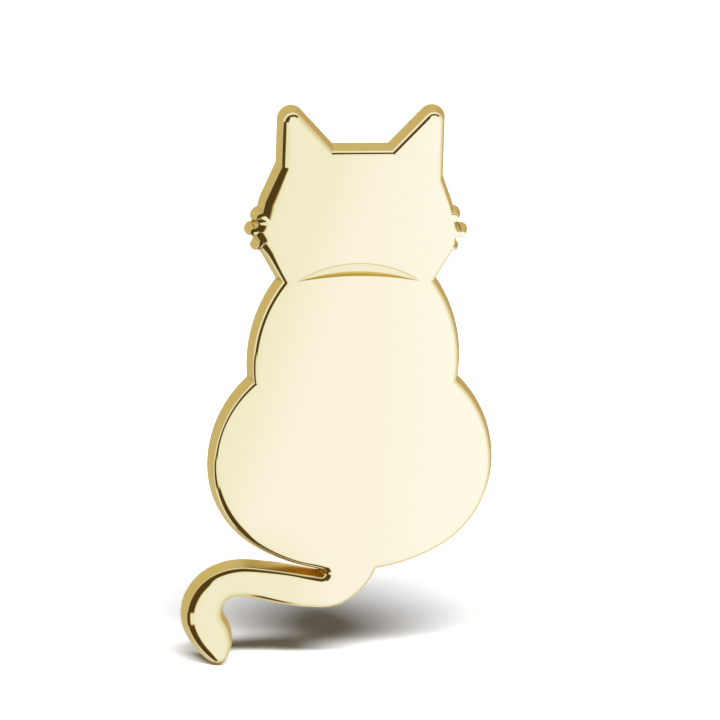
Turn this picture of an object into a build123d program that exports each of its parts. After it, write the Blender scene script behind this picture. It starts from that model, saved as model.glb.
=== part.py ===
from build123d import *
import os
from math import asin, atan2, cos, hypot, pi, radians, sin, sqrt, tan

# Cat badge: a cast and gold-plated lapel pin in the outline of a sitting cat seen from behind, with two
# headed posts soldered into its back and a two-winged butterfly clutch on each post.
#
# Frame, in millimetres: +Z up, X to the right as seen from the front, and the polished front faces -Y.
# The back face, which lies on the cloth, is the plane y = 0. The origin is on it, midway between the posts.
# A clutch's own heights are counted along +Y from the side of its base that presses on the cloth.

LEFT, RIGHT = -1, 1

# ---- casting ----
plate_thickness = 1.7
wall_draft = 14.0  # degrees, the side wall narrows towards the front
front_round = 0.40  # radius of the polished front edge

# Head, heights counted from the neck
neck_z = 6.2
neck_half_width = 6.30
crown_height = 10.94
crown_half_width = 2.21
ear_tip_x = 5.57
ear_tip_height = 12.95
ear_tip_radius = 1.07
ear_foot_height = {LEFT: 9.45, RIGHT: 8.30}
cheek_half_width = {LEFT: 7.85, RIGHT: 7.40}
cheek_height = {LEFT: 6.60, RIGHT: 6.30}
tuft_root_half_width = {LEFT: 8.25, RIGHT: 7.90}  # edge of the head behind the tufts
tuft_root_heights = [4.60, 3.00]
jowl_half_width = 7.50
jowl_height = 2.05
neck_foot_inset = 1.0  # of the head's foot inside the trunk, from the neck's edge
neck_foot_depth = 1.5
ear_crest_turn = 80.0  # degrees, a point on the round of an ear's tip
# Fur tufts, top to bottom: centre's distance from the middle, height above the neck, radius
tufts = {
    LEFT: [(7.80, 5.20, 0.72), (8.35, 4.12, 0.62), (7.97, 2.82, 0.48)],
    RIGHT: [(7.42, 5.20, 0.72), (8.10, 3.92, 0.62), (7.60, 2.65, 0.46)],
}
tuft_setback = 0.25  # of a tuft's end from the polished face
tuft_bevel = 0.20
tuft_end_share = 0.4  # of its radius, left flat at the end

# Trunk: one arc on each side, widest at the waist
waist_half_width = 8.44
waist_z = -0.30
shoulder_radius = 11.4
trunk_top_overlap = 0.9  # of the trunk behind the head
trunk_foot_share = 0.65  # of the belly's upper radius, where the trunk ends inside the belly

# Belly: an upper and a lower arc on each side that meet at the widest level, and one arc along the bottom
belly_half_width = 11.30
belly_z = -8.54
belly_upper_radius = 9.5
belly_lower_radius = 8.0
belly_drop = 8.92  # from the widest level to the bottom
belly_top_turn = 70.0  # degrees that the upper arcs turn before they end inside the trunk

# Tail, x from the middle and height from the belly's bottom
slit_end_x = -2.15  # where the slit between belly and tail ends
slit_gap = 0.12
tail_heading = 166.0  # degrees, direction in which the tail's upper edge sets off from the slit's end
tail_outline = [(-7.86, 0.96), (-10.54, 0.49), (-12.87, -2.16), (-12.63, -4.94), (-10.76, -7.19)]
tail_outline += [(-9.16, -6.84), (-8.87, -5.26), (-9.51, -3.60), (-8.59, -2.01), (-6.35, -2.39)]
tail_outline += [(-2.09, -2.98), (0.29, -2.29), (2.40, 0.21)]
tail_root_rise = 1.6  # how far the tail's root reaches up into the belly

# Neck crescent: a shallow recess in the front, between two arcs on one chord
crescent_half_length = 4.90
crescent_height = 0.16  # chord, above the neck
crescent_upper_rise = 1.47
crescent_lower_rise = 0.46
crescent_slope = 0.35  # how fast the floor deepens from the upper arc down
crescent_wall_draft = 26.0

# ---- posts ----
post_spacing = 17.0
post_radius = 0.55
post_reach = 8.2  # tip above the back face
post_point = 1.1  # length of the point
post_tip_radius = 0.10
groove_depth = 0.10
groove_width = 0.62
groove_drops = [2.0, 2.9]  # from the point's foot down to the top of each groove
pad_radius = 2.25
pad_thickness = 0.35
recess_depth = 0.45
solder_width = 0.25  # round the pad
solder_drop = 0.06  # solder's edges below the pad's top
solder_hollow = 0.05  # how far its concave top dips

# ---- clutches ----
cloth_gap = 2.4  # cloth held between the back face and a clutch
base_radius = 5.6
base_sheet = 0.40
rim_height = 1.05
rim_bend = 0.50  # outer bend radius of the turned-up rim
post_clearance = 0.05  # hole in the base round the post
# Plan sizes of the cage and wings, which grow with the base
standard_base_radius = 5.6
plan = base_radius / standard_base_radius
cage_half_length = 3.65 * plan
cage_window_half_length = 1.75 * plan
pivot_x = 2.6 * plan
wing_half_width = 2.45 * plan
grip_half_width = 2.1 * plan
wing_knee_x = 4.55 * plan
wing_tip_x = 5.75 * plan
# Their sheet, fits and heights
cage_sheet = 0.30
cage_rim_clearance = 0.20
cage_window_clearance = 0.2  # beside the grips
pivot_height = 2.3
trunnion_radius = 0.36
trunnion_clearance = 0.06
lug_ring = 0.42  # metal round a trunnion's hole
lug_clearance = 0.12  # between a wing and a lug
wing_sheet = 0.30
eye_radius = 0.58  # rolled eye of a wing
grip_height = pivot_height - 1.1
grip_gap = 0.05  # from the middle plane to each grip's edge
grip_clearance = 0.03  # grip's notch round the post
grip_shoulder = 0.15  # from the window's end to where a wing widens
wing_knee_height = pivot_height + 2.25
wing_tip_height = pivot_height + 3.15
wing_corner = 1.2  # rounding of its outer corners

# ---- derived ----
tuft_wall = plate_thickness - tuft_setback - tuft_bevel  # height of a tuft's drafted wall
post_z = {"upper": post_spacing / 2, "lower": -post_spacing / 2}
recess_radius = pad_radius + solder_width
lug_z = wing_half_width + lug_clearance  # inner face of a lug
belly_bottom_z = belly_z - belly_drop
through = 4 * pivot_height  # height of a cutter that goes right through a clutch
FRONT = Plane.XZ  # local x is X, local y is Z, and its normal is -Y
STANDING = (Align.CENTER, Align.CENTER, Align.MIN)


def tangent_point(point, centre, radius, side):
    """Where a line from the point touches the circle, on its left (side 1) or right (side -1)."""
    dx, dy = centre[0] - point[0], centre[1] - point[1]
    distance = hypot(dx, dy)
    heading = atan2(dy, dx) + side * asin(radius / distance)
    reach = sqrt(distance**2 - radius**2)
    return (point[0] + reach * cos(heading), point[1] + reach * sin(heading))


def ear_edges(side):
    """One ear from the crown's corner round its tip to the ear's foot on the cheek."""
    corner = (crown_half_width, neck_z + crown_height)
    centre = (ear_tip_x, neck_z + ear_tip_height)
    touch = tangent_point(corner, centre, ear_tip_radius, 1)
    outer_x = ear_tip_x + ear_tip_radius
    turn = radians(ear_crest_turn)
    crest = (ear_tip_x + ear_tip_radius * cos(turn), centre[1] + ear_tip_radius * sin(turn))
    points = [corner, touch, crest, (outer_x, centre[1]), (outer_x, neck_z + ear_foot_height[side])]
    a, b, c, d, e = [(side * x, z) for x, z in points]
    return [Line(a, b), ThreePointArc(b, c, d), Line(d, e)]


def head_face():
    """Head with its ears and cheeks, down to a foot inside the trunk."""
    crown = (crown_half_width, neck_z + crown_height)
    foot_x, foot_z = neck_half_width - neck_foot_inset, neck_z - neck_foot_depth
    edges = [Line((-crown[0], crown[1]), crown), Line((-foot_x, foot_z), (foot_x, foot_z))]
    for side in (LEFT, RIGHT):
        edges += ear_edges(side)
        cheek = [
            (ear_tip_x + ear_tip_radius, ear_foot_height[side]),
            (cheek_half_width[side], cheek_height[side]),
            *[(tuft_root_half_width[side], height) for height in tuft_root_heights],
            (jowl_half_width, jowl_height),
            (neck_half_width, 0),
            (foot_x, -neck_foot_depth),
        ]
        edges.append(Polyline(*[(side * x, neck_z + h) for x, h in cheek]))
    return make_face(edges)


def flank_x(z):
    """Half the trunk's width at the height z."""
    return waist_half_width - shoulder_radius + sqrt(shoulder_radius**2 - (z - waist_z) ** 2)


def trunk_face():
    """Shoulders and flanks: one arc on each side, closed inside the head and inside the belly."""
    top, bottom = neck_z + trunk_top_overlap, belly_z + trunk_foot_share * belly_upper_radius
    arc = [(flank_x(top), top), (waist_half_width, waist_z), (flank_x(bottom), bottom)]
    edges = [Line((-x, z), (x, z)) for x, z in (arc[0], arc[2])]
    for side in (LEFT, RIGHT):
        edges.append(ThreePointArc(*[(side * x, z) for x, z in arc]))
    return make_face(edges)


def belly_bottom_arc():
    """Radius and centre height of the arc along the bottom, tangent to both lower side arcs."""
    offset = belly_half_width - belly_lower_radius
    slack = belly_drop - belly_lower_radius
    radius = (offset**2 + slack**2) / (2 * slack) + belly_lower_radius
    return radius, belly_bottom_z + radius


def belly_bottom(x):
    """Height of the belly's bottom arc at x."""
    radius, centre_z = belly_bottom_arc()
    return centre_z - sqrt(radius**2 - x**2)


def belly_side(radius, turn):
    """Point on a right-hand side arc of this radius, at this turn up from the widest level."""
    return (belly_half_width - radius + radius * cos(turn), belly_z + radius * sin(turn))


def belly_face():
    """Belly: upper side arcs, lower side arcs and the bottom arc, all tangent, closed inside the trunk."""
    lower_x = belly_half_width - belly_lower_radius
    radius, centre_z = belly_bottom_arc()
    swing = atan2(lower_x, centre_z - belly_z)  # turn of the bottom arc from straight down
    joint = (radius * sin(swing), centre_z - radius * cos(swing))
    edges = [ThreePointArc((-joint[0], joint[1]), (0, belly_bottom_z), joint)]
    top, upper_mid = [belly_side(belly_upper_radius, radians(belly_top_turn) / share) for share in (1, 2)]
    lower_mid = belly_side(belly_lower_radius, (swing - pi / 2) / 2)
    edges.append(Line((-top[0], top[1]), top))
    for side in (LEFT, RIGHT):
        points = [(side * x, z) for x, z in (top, upper_mid, (belly_half_width, belly_z), lower_mid, joint)]
        edges += [ThreePointArc(*points[:3]), ThreePointArc(*points[2:])]
    return make_face(edges)


def tangent_chain(points, heading):
    """Arcs from point to point, each tangent to the one before, the first setting off along the heading."""
    direction = Vector(cos(radians(heading)), sin(radians(heading)))
    arcs = []
    for start, end in zip(points, points[1:]):
        arcs.append(TangentArc(start, end, tangent=direction))
        direction = arcs[-1] % 1
    return arcs


def tail_face():
    """Tail: a hooked outline that leaves the belly's bottom, with a narrow slit between the two."""
    slit_end = (slit_end_x, belly_bottom(slit_end_x) - slit_gap)
    outline = [slit_end] + [(x, belly_bottom_z + height) for x, height in tail_outline]
    roots = [(x, belly_bottom_z + tail_root_rise) for x in (outline[-1][0], slit_end_x)]
    return make_face(tangent_chain(outline, tail_heading) + [Polyline(outline[-1], *roots, slit_end)])


def drafted(face):
    """The face drawn forwards from the back plane with the wall's draft and the rounded front edge."""
    body = extrude(FRONT * face, plate_thickness, taper=wall_draft)
    return fillet(body.faces().sort_by(Axis.Y)[0].edges(), front_round)


def tuft(x, height, radius):
    """One fur tuft: a drafted post with a bevelled end, on the edge of the cheek."""
    end_radius = radius - tuft_wall * tan(radians(wall_draft))
    post = Cone(radius, end_radius, tuft_wall, align=STANDING)
    post += Pos(0, 0, tuft_wall) * Cone(end_radius, tuft_end_share * end_radius, tuft_bevel, align=STANDING)
    return FRONT * Pos(x, neck_z + height, 0) * post


def place_back(shape, z, height=0):
    """The shape with its own +Z turned to +Y, centred on a post's axis at the height above the back face."""
    return Pos(0, height, z) * Rot(-90, 0, 0) * shape


def crescent_cut():
    """Neck crescent: a cone whose rim is the upper arc, less a drafted disc whose rim is the lower arc."""

    def arc(rise):
        radius = (crescent_half_length**2 + rise**2) / (2 * rise)
        return radius, neck_z + crescent_height + rise - radius

    def cone(radius, z, growth):
        """Cone round an axis at the height z, with this radius at the front face, growing with depth."""
        reach = plate_thickness / 3
        solid = Cone(radius - reach * growth, radius + reach * growth, 2 * reach)
        return place_back(solid, z, -plate_thickness)

    floor = cone(*arc(crescent_upper_rise), -1 / crescent_slope)
    return floor - cone(*arc(crescent_lower_rise), tan(radians(crescent_wall_draft)))


def cat_plate():
    """Casting: four overlapping drafted bodies and the fur tufts, with the crescent and recesses."""
    plate = drafted(head_face()) + drafted(trunk_face()) + drafted(belly_face()) + drafted(tail_face())
    for side in (LEFT, RIGHT):
        for x, height, radius in tufts[side]:
            plate += tuft(side * x, height, radius)
    plate -= crescent_cut()
    for z in post_z.values():
        hole = Cylinder(recess_radius, recess_depth, align=(Align.CENTER, Align.CENTER, Align.MAX))
        plate -= place_back(hole, z)
    return plate


def post(z):
    """Headed post: a flat pad in the recess, a round shank with two snap grooves, and a point."""
    pad_top = pad_thickness - recess_depth
    foot = post_reach - post_point
    start = (post_radius, pad_top)
    pad = Polyline((0, -recess_depth), (pad_radius, -recess_depth), (pad_radius, pad_top), start)
    edges = [pad]
    for drop in reversed(groove_drops):
        top, bottom = foot - drop, foot - drop - groove_width
        edges.append(Line(start, (post_radius, bottom)))
        start = (post_radius, top)
        edges.append(ThreePointArc(edges[-1] @ 1, (post_radius - groove_depth, (top + bottom) / 2), start))
    point = [(post_radius, foot), (post_tip_radius, post_reach), (0, post_reach)]
    edges.append(Polyline(start, *point, pad @ 0))
    return place_back(revolve(Plane.XZ * make_face(edges), Axis.Z), z)


def solder(z):
    """Solder in the gap round a post's pad, with a slightly hollow top."""
    floor = -recess_depth
    edge = floor + pad_thickness - solder_drop
    middle = (pad_radius + recess_radius) / 2
    sides = Polyline((pad_radius, edge), (pad_radius, floor), (recess_radius, floor), (recess_radius, edge))
    top = ThreePointArc((pad_radius, edge), (middle, edge - solder_hollow), (recess_radius, edge))
    return place_back(revolve(Plane.XZ * make_face([sides, top]), Axis.Z), z)


def clutch_base(z):
    """Clutch's base: a stamped disc with a turned-up rim and a hole that guides it along the post."""
    hole = post_radius + post_clearance
    inner_bend = rim_bend - base_sheet
    bend = base_radius - rim_bend
    outer_mid = (bend + rim_bend * sin(pi / 4), rim_bend * (1 - cos(pi / 4)))
    inner_mid = (bend + inner_bend * sin(pi / 4), base_sheet + inner_bend * (1 - cos(pi / 4)))
    rim_inner = base_radius - base_sheet
    outline = [
        Line((hole, 0), (bend, 0)),
        ThreePointArc((bend, 0), outer_mid, (base_radius, rim_bend)),
        Line((base_radius, rim_bend), (base_radius, rim_height - base_sheet / 2)),
        ThreePointArc(
            (base_radius, rim_height - base_sheet / 2),
            (base_radius - base_sheet / 2, rim_height),
            (rim_inner, rim_height - base_sheet / 2),
        ),
        Line((rim_inner, rim_height - base_sheet / 2), (rim_inner, rim_bend)),
        ThreePointArc((rim_inner, rim_bend), inner_mid, (bend, base_sheet)),
        Polyline((bend, base_sheet), (hole, base_sheet), (hole, 0)),
    ]
    return place_back(revolve(Plane.XZ * make_face(outline), Axis.Z), z, cloth_gap)


def clutch_cage(z):
    """Clutch's cage: a stamped plate on the base, with a window for the grips and two pairs of lugs."""
    lug_outer = lug_z + cage_sheet
    floor = Box(2 * cage_half_length, 2 * lug_outer, cage_sheet, align=STANDING)
    floor &= Cylinder(base_radius - base_sheet - cage_rim_clearance, cage_sheet, align=STANDING)
    floor -= Box(2 * cage_window_half_length, 2 * (grip_half_width + cage_window_clearance), through)
    cage = Pos(0, 0, base_sheet) * floor
    ring = trunnion_radius + trunnion_clearance + lug_ring
    for side in (LEFT, RIGHT):
        ear = Pos(side * pivot_x, pivot_height) * Circle(ring)
        foot = Rectangle(2 * ring, pivot_height - base_sheet, align=(Align.CENTER, Align.MIN))
        foot = Pos(side * pivot_x, base_sheet) * foot
        hole = Pos(side * pivot_x, pivot_height) * Circle(trunnion_radius + trunnion_clearance)
        lug = extrude(Plane.XZ * (ear + foot - hole), cage_sheet)
        cage += Pos(0, -lug_z, 0) * lug
        cage += Pos(0, lug_outer, 0) * lug
    return place_back(cage, z, cloth_gap)


def clutch_wing(side, z):
    """Clutch's wing: a bent blade with a rolled eye on its trunnions, a notched grip and a finger tab."""
    width = 2 * wing_half_width
    eye = Pos(pivot_x, 0, pivot_height) * Rot(90, 0, 0)
    spine = Polyline(
        (grip_gap, grip_height),
        (pivot_x, pivot_height),
        (wing_knee_x, wing_knee_height),
        (wing_tip_x, wing_tip_height),
    )
    blade = offset(spine, wing_sheet / 2, side=Side.BOTH)
    wing = extrude(Plane.XZ * make_face(blade), wing_half_width, both=True)
    footprint = RectangleRounded(2 * (wing_tip_x + wing_sheet / 2), width, wing_corner)
    wing &= extrude(footprint, wing_tip_height + wing_sheet)
    for end in (-1, 1):
        beside = Box(2 * (cage_window_half_length + grip_shoulder), width, through)
        wing -= Pos(0, end * (grip_half_width + wing_half_width), 0) * beside
    wing -= Pos(grip_gap, 0, 0) * Box(width, width, through, align=(Align.MAX, Align.CENTER, Align.CENTER))
    wing -= Cylinder(post_radius + grip_clearance, through)
    wing += eye * Cylinder(eye_radius, width)
    wing += eye * Cylinder(trunnion_radius, 2 * (lug_z + cage_sheet))
    if side == LEFT:
        wing = mirror(wing, Plane.YZ)
    return place_back(wing, z, cloth_gap)


os.makedirs("parts", exist_ok=True)
nodes = {"cat_plate": cat_plate()}
for level, z in post_z.items():
    nodes[f"{level}_post"] = post(z)
    nodes[f"{level}_post_solder"] = solder(z)
    nodes[f"{level}_clutch_base"] = clutch_base(z)
    nodes[f"{level}_clutch_cage"] = clutch_cage(z)
    nodes[f"{level}_clutch_wing_left"] = clutch_wing(LEFT, z)
    nodes[f"{level}_clutch_wing_right"] = clutch_wing(RIGHT, z)
for name, shape in nodes.items():
    export_step(shape, f"parts/{name}.step")
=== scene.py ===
"""Cat badge in gold plate: a cast plate with a polished front, two posts and two butterfly clutches."""

import logging
import math
from collections.abc import Mapping, Sequence
from dataclasses import dataclass, field, fields
from enum import Enum
from typing import Any

import bmesh
import bpy
import numpy as np
from mathutils import Matrix, Vector
from mathutils.geometry import delaunay_2d_cdt


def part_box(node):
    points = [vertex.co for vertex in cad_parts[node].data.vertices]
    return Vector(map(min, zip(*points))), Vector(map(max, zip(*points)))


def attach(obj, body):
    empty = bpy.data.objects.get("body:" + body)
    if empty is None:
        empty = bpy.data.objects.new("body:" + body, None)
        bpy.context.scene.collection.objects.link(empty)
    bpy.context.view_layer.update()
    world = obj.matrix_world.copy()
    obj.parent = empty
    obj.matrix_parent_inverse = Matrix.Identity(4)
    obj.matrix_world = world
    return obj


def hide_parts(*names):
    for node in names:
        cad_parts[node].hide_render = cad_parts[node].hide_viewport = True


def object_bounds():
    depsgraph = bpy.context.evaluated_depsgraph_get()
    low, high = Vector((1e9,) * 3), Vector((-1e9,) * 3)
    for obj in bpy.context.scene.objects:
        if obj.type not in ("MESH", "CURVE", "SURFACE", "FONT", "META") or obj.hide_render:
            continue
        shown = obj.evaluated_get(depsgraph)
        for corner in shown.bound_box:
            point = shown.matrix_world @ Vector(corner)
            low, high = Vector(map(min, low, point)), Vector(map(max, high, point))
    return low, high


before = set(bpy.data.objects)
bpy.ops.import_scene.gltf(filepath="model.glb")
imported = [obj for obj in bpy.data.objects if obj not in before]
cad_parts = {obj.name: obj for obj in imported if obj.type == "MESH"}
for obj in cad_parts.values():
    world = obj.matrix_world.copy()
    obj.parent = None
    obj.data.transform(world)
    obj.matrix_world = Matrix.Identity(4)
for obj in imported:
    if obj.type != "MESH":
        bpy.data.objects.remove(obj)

logging.basicConfig(level=logging.INFO, format="%(message)s")
LOG = logging.getLogger("badge")
CAD_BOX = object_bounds()
MM = 0.001  # every size below is in millimetres


class Side(Enum):
    """Left or right as seen from the front, as the sign of x."""

    LEFT = -1
    RIGHT = 1


class Level(Enum):
    """Upper or lower post and clutch."""

    UPPER = "upper"
    LOWER = "lower"


# ---------------------------------------------------------------- shader maths


class Value:
    """A number or colour socket in a node tree; arithmetic on it adds Math nodes."""

    def __init__(self, tree: "Tree", socket: bpy.types.NodeSocket) -> None:
        """Keeps the socket and the tree it is in."""
        self.tree, self.socket = tree, socket

    def _math(self, operation: str, first: Any, second: Any = 0.0) -> "Value":
        """Adds one Math node.

        Args:
            operation: Blender's name of the operation.
            first: Left operand, a Value or a number.
            second: Right operand.

        Returns:
            The result.
        """
        node = self.tree.node("Math", {"operation": operation}, {0: first, 1: second})
        return Value(self.tree, node.outputs[0])

    def __add__(self, other: Any) -> "Value":
        """Sum."""
        return self._math("ADD", self, other)

    def __sub__(self, other: Any) -> "Value":
        """Difference."""
        return self._math("SUBTRACT", self, other)

    def __rsub__(self, other: Any) -> "Value":
        """Difference from a number."""
        return self._math("SUBTRACT", other, self)

    def __mul__(self, other: Any) -> "Value":
        """Product."""
        return self._math("MULTIPLY", self, other)

    def __truediv__(self, other: Any) -> "Value":
        """Quotient."""
        return self._math("DIVIDE", self, other)

    __radd__ = __add__
    __rmul__ = __mul__

    def power(self, exponent: float) -> "Value":
        """Power with a number as exponent."""
        return self._math("POWER", self, exponent)

    def most(self, other: Any) -> "Value":
        """The larger of the two."""
        return self._math("MAXIMUM", self, other)

    def step(self, low: float, high: float) -> "Value":
        """Smooth step: 0 below low, 1 above high; low may be the larger of the two.

        Args:
            low: Where the result is 0.
            high: Where the result is 1.

        Returns:
            The smooth step.
        """
        flip = low > high
        low, high = (high, low) if flip else (low, high)
        limits = {0: self, 1: low, 2: high, 3: float(flip), 4: float(not flip)}
        node = self.tree.node("MapRange", {"interpolation_type": "SMOOTHSTEP"}, limits)
        return Value(self.tree, node.outputs[0])


class Tree:
    """A node tree and the one method that adds a node to it."""

    def __init__(self, node_tree: bpy.types.NodeTree) -> None:
        """Empties the tree."""
        self.nodes, self.links = node_tree.nodes, node_tree.links
        self.nodes.clear()

    def node(
        self, kind: str, settings: Mapping[str, Any] = {}, inputs: Mapping[Any, Any] = {}
    ) -> bpy.types.Node:
        """Adds a node.

        Args:
            kind: Node type without Blender's ShaderNode prefix.
            settings: Its properties, set first; "stops" gives a ramp's (position, colour) pairs.
            inputs: Value, socket or constant for each input, by name or index.

        Returns:
            The node.
        """
        node = self.nodes.new("ShaderNode" + kind)
        for name, value in settings.items():
            if name == "stops":
                ramp = node.color_ramp.elements
                while len(ramp) < len(value):
                    ramp.new(1.0)
                for element, (position, colour) in zip(ramp, value):
                    element.position, element.color = position, (*colour, 1.0)
            else:
                setattr(node, name, value)
        for key, value in inputs.items():
            if isinstance(value, Value):
                value = value.socket
            if isinstance(value, bpy.types.NodeSocket):
                self.links.new(value, node.inputs[key])
            else:
                node.inputs[key].default_value = value
        return node

    def place(self) -> Value:
        """Object coordinates, in metres."""
        return Value(self, self.node("TexCoord").outputs["Object"])

    def attribute(self, name: str) -> Value:
        """A number stored on the mesh."""
        return Value(self, self.node("Attribute", {"attribute_name": name}).outputs["Fac"])

    def noise(self, size: float, detail: float = 2.0, squash: Sequence[float] = (1, 1, 1)) -> Value:
        """Fractal noise between 0 and 1.

        Args:
            size: Size of its largest patches, in millimetres.
            detail: Octaves.
            squash: How many times finer it is along each axis.

        Returns:
            The noise.
        """
        scale = tuple(s / (size * MM) for s in squash)
        spot = self.node("VectorMath", {"operation": "MULTIPLY"}, {0: self.place(), 1: scale})
        inputs = {"Vector": spot.outputs[0], "Scale": 1.0, "Detail": detail, "Roughness": 0.55}
        return Value(self, self.node("TexNoise", {}, inputs).outputs["Fac"])

    def along(self, axis: int) -> Value:
        """Object coordinate on an axis, in millimetres."""
        parts = self.node("SeparateXYZ", {}, {0: self.place()})
        return Value(self, parts.outputs[axis]) / MM

    def away(self, spot: Sequence[float]) -> Value:
        """Distance from a place on the object.

        Args:
            spot: The place, in millimetres.

        Returns:
            The distance in millimetres.
        """
        ends = {0: self.place(), 1: [c * MM for c in spot]}
        distance = self.node("VectorMath", {"operation": "DISTANCE"}, ends)
        return Value(self, distance.outputs["Value"]) / MM

    def mix(self, share: Any, first: Any, second: Any) -> Value:
        """Mixes two colours.

        Args:
            share: Share of the second colour.
            first: Colour or link.
            second: Colour or link.

        Returns:
            The mixed colour.
        """
        colours = [(*c, 1.0) if isinstance(c, tuple) else c for c in (first, second)]
        inputs = {0: share, 6: colours[0], 7: colours[1]}
        return Value(self, self.node("Mix", {"data_type": "RGBA"}, inputs).outputs[2])

    def bump(self, height: Value, depth: float, strength: float = 1.0, normal: Any = None) -> Value:
        """Bump from a height between 0 and 1.

        Args:
            height: The height.
            depth: Depth that a height of 1 stands for, in millimetres.
            strength: Share of the effect.
            normal: Normal to start from.

        Returns:
            The bent normal.
        """
        links = {"Height": height, "Distance": depth * MM, "Strength": strength}
        if normal is not None:
            links["Normal"] = normal
        return Value(self, self.node("Bump", {}, links).outputs[0])


@dataclass(frozen=True)
class Finish:
    """A plated or plain metal surface; subclasses add their own marks."""

    name: str
    colour: tuple[float, float, float]
    deep: tuple[float, float, float]  # colour of darker patches and tarnish
    roughness: float = 0.2
    wear: float = 0.1  # taken off the roughness, for what the marks add to it on average

    def marks(self, tree: Tree) -> tuple[Any, Any, Any]:
        """Colour, roughness and normal of the plain finish, with soft clouding and fine grain.

        Args:
            tree: The material's node tree.

        Returns:
            The three sockets.
        """
        cloud = tree.noise(size=2.4, detail=4.0)
        grain = tree.noise(size=0.09, detail=3.0)
        colour = tree.mix(cloud.step(0.35, 0.75) * 0.6, self.colour, self.deep)
        roughness = cloud * 0.12 + grain * 0.08 + (self.roughness - self.wear)
        return colour, roughness, tree.bump(grain, depth=0.006)

    def material(self) -> bpy.types.Material:
        """Builds the material.

        Returns:
            The material, with its colour, roughness and normal from marks().
        """
        material = bpy.data.materials.new(self.name)
        material.use_nodes = True
        tree = Tree(material.node_tree)
        colour, roughness, normal = self.marks(tree)
        inputs = {"Base Color": colour, "Roughness": roughness, "Metallic": 1.0, "Normal": normal}
        shader = tree.node("BsdfPrincipled", {}, inputs)
        tree.node("OutputMaterial", {}, {"Surface": shader.outputs[0]})
        return material


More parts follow.
